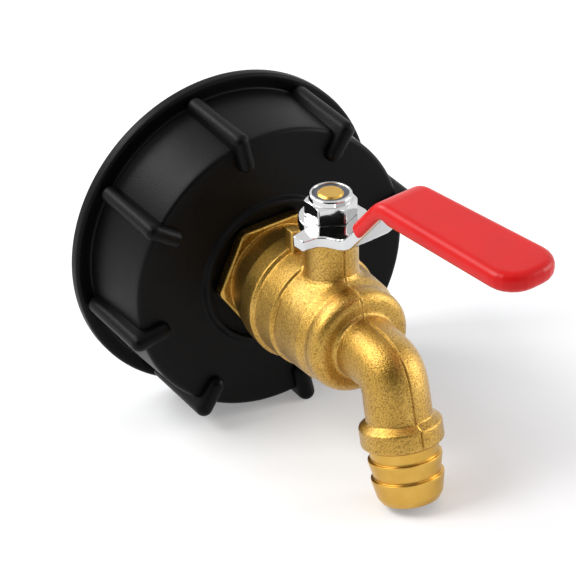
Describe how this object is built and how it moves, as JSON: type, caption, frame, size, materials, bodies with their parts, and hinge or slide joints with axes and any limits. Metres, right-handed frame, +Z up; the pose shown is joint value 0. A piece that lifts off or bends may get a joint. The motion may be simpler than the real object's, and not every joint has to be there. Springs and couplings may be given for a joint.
{
  "type": "tank valve",
  "caption": "Quarter-turn ball valve with an angled hose tail and a lever, screwed into a ribbed plastic cap for the threaded outlet of a bulk liquid tank.",
  "frame": {"origin": "centre of the cap's open mouth, on the axis of its thread", "axes": "+Y along the thread into the tank, against the flow; +Z up, along the stem; +X to the right seen from the front"},
  "size_m": [0.076, 0.1118, 0.0786],
  "materials": {
    "black_plastic": "moulded polypropylene, satin",
    "rubber": "matt",
    "brass": "shot-blasted casting, turned at the hexagon and barbs",
    "seat_plastic": "smooth",
    "chrome_plate": "polished plating",
    "red_vinyl": "soft vinyl sleeve, semi-gloss",
    "nylon": "smooth"
  },
  "bodies": {
    "root": {"tank_cap": "black_plastic", "tank_gasket": "rubber", "inlet_washer": "rubber", "inlet_adapter": "brass", "body_seal_ring": "rubber", "valve_body": "brass", "inlet_seat": "seat_plastic", "outlet_seat": "seat_plastic", "stem_thrust_washer": "seat_plastic", "stem_packing": "seat_plastic", "packing_gland": "brass"},
    "lever": {"lever_plate": "chrome_plate", "lever_grip": "red_vinyl", "lock_nut": "chrome_plate", "lock_nut_insert": "nylon", "stem": "brass", "stem_seal_ring": "rubber", "ball": "chrome_plate"}
  },
  "joints": [
    {"name": "lever_turn", "type": "hinge", "parent": "root", "child": "lever", "pos_m": [0, -0.0485, 0], "axis": [0, 0, 1], "range_deg": [-9, 81]}
  ]
}
